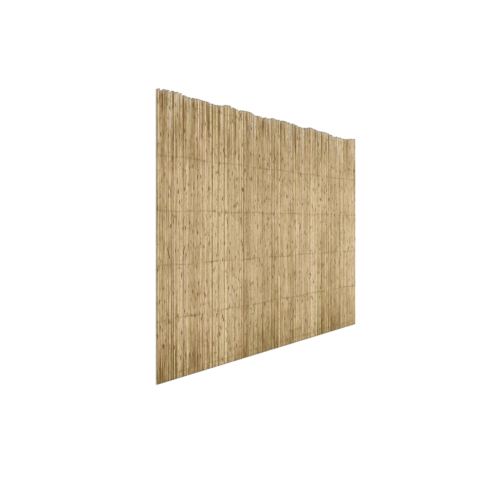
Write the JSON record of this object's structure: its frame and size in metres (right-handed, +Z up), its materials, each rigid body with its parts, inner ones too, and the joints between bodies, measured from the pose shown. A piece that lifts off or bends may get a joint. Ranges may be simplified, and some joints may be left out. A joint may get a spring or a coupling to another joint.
{
  "type": "bamboo screening",
  "caption": "Thin whole bamboo canes side by side in one layer, held by rows of paired binding wire: a length of fence screening, unrolled and lying flat.",
  "frame": {"origin": "under the middle of the sheet, on the plane that the lower wires lie on", "axes": "+X along the binding wires, the longest way; +Y along the canes, from the flush foot to the uneven top; +Z up out of the sheet's face, its thinnest way"},
  "size_m": [3.0026, 2, 0.0152],
  "materials": {
    "bamboo": "dry matt bamboo rind, straw to pinkish brown",
    "galvanised_wire": "dull weathered galvanised wire"
  },
  "bodies": {
    "root": {"canes_01": "bamboo", "canes_02": "bamboo", "canes_03": "bamboo", "canes_04": "bamboo", "canes_05": "bamboo", "canes_06": "bamboo", "canes_07": "bamboo", "canes_08": "bamboo", "canes_09": "bamboo", "canes_10": "bamboo", "canes_11": "bamboo", "canes_12": "bamboo", "canes_13": "bamboo", "canes_14": "bamboo", "canes_15": "bamboo", "canes_16": "bamboo", "canes_17": "bamboo", "canes_18": "bamboo", "canes_19": "bamboo", "canes_20": "bamboo", "canes_21": "bamboo", "canes_22": "bamboo", "canes_23": "bamboo", "canes_24": "bamboo", "canes_25": "bamboo", "binding_wire_1a": "galvanised_wire", "binding_wire_1b": "galvanised_wire", "binding_wire_2a": "galvanised_wire", "binding_wire_2b": "galvanised_wire", "binding_wire_3a": "galvanised_wire", "binding_wire_3b": "galvanised_wire", "binding_wire_4a": "galvanised_wire", "binding_wire_4b": "galvanised_wire", "binding_wire_5a": "galvanised_wire", "binding_wire_5b": "galvanised_wire", "binding_wire_6a": "galvanised_wire", "binding_wire_6b": "galvanised_wire"}
  },
  "joints": []
}
